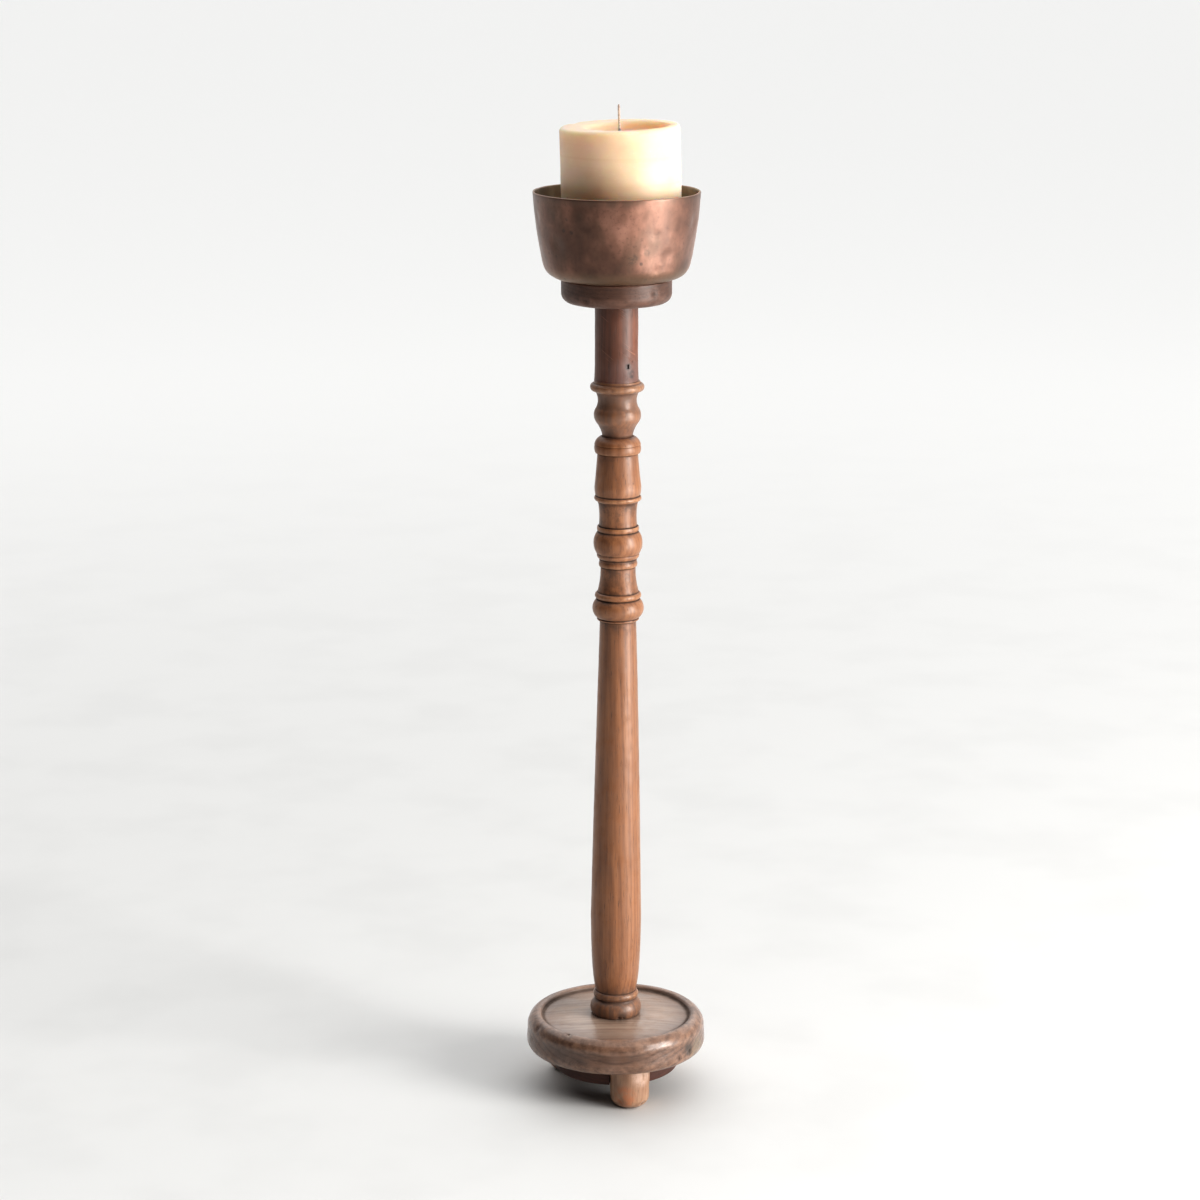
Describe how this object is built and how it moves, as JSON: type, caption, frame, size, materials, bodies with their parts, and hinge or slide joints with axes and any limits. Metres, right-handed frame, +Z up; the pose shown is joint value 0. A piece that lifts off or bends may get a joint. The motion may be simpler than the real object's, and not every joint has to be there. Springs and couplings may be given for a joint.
{
  "type": "candlestick",
  "caption": "Tall turned wooden candlestick on a round base with peg feet, carrying a copper bowl that holds a pillar candle.",
  "frame": {"origin": "on the table, under the spindle's axis, level with the soles of the three feet", "axes": "+Z up along the spindle, -Y towards the front, +X to the right seen from the front"},
  "size_m": [0.1194, 0.1194, 0.6522],
  "materials": {
    "base_wood": "dull stained hardwood with a thin worn wax polish",
    "hub_wood": "dark reddish stained hardwood",
    "foot_wood": "pale tan hardwood",
    "spindle_wood": "waxed turned hardwood",
    "neck_wood": "dark reddish polished hardwood",
    "block_wood": "dark brown hardwood",
    "copper": "old brown patinated copper sheet, lightly dented",
    "brass_screw": "dull brass",
    "steel": "dull bright steel",
    "wax": "ivory candle wax, satin",
    "wick": "waxed braided cotton, hardly burnt"
  },
  "bodies": {
    "stand": {"base_disc": "base_wood", "base_hub": "hub_wood", "hub_screws": "steel", "stem_washer": "steel", "stem_screw": "steel", "spindle": "spindle_wood", "neck_sleeve": "neck_wood", "neck_brad": "steel", "cup_block": "block_wood", "copper_bowl": "copper", "bowl_screw": "brass_screw", "foot_front": "foot_wood", "foot_rear_right": "foot_wood", "foot_rear_left": "foot_wood"},
    "candle": {"candle_wax": "wax", "candle_wick": "wick"}
  },
  "joints": [
    {"name": "candle_lift", "type": "slide", "parent": "stand", "child": "candle", "axis": [0, 0, 1], "range_m": [0, 0.08]}
  ]
}
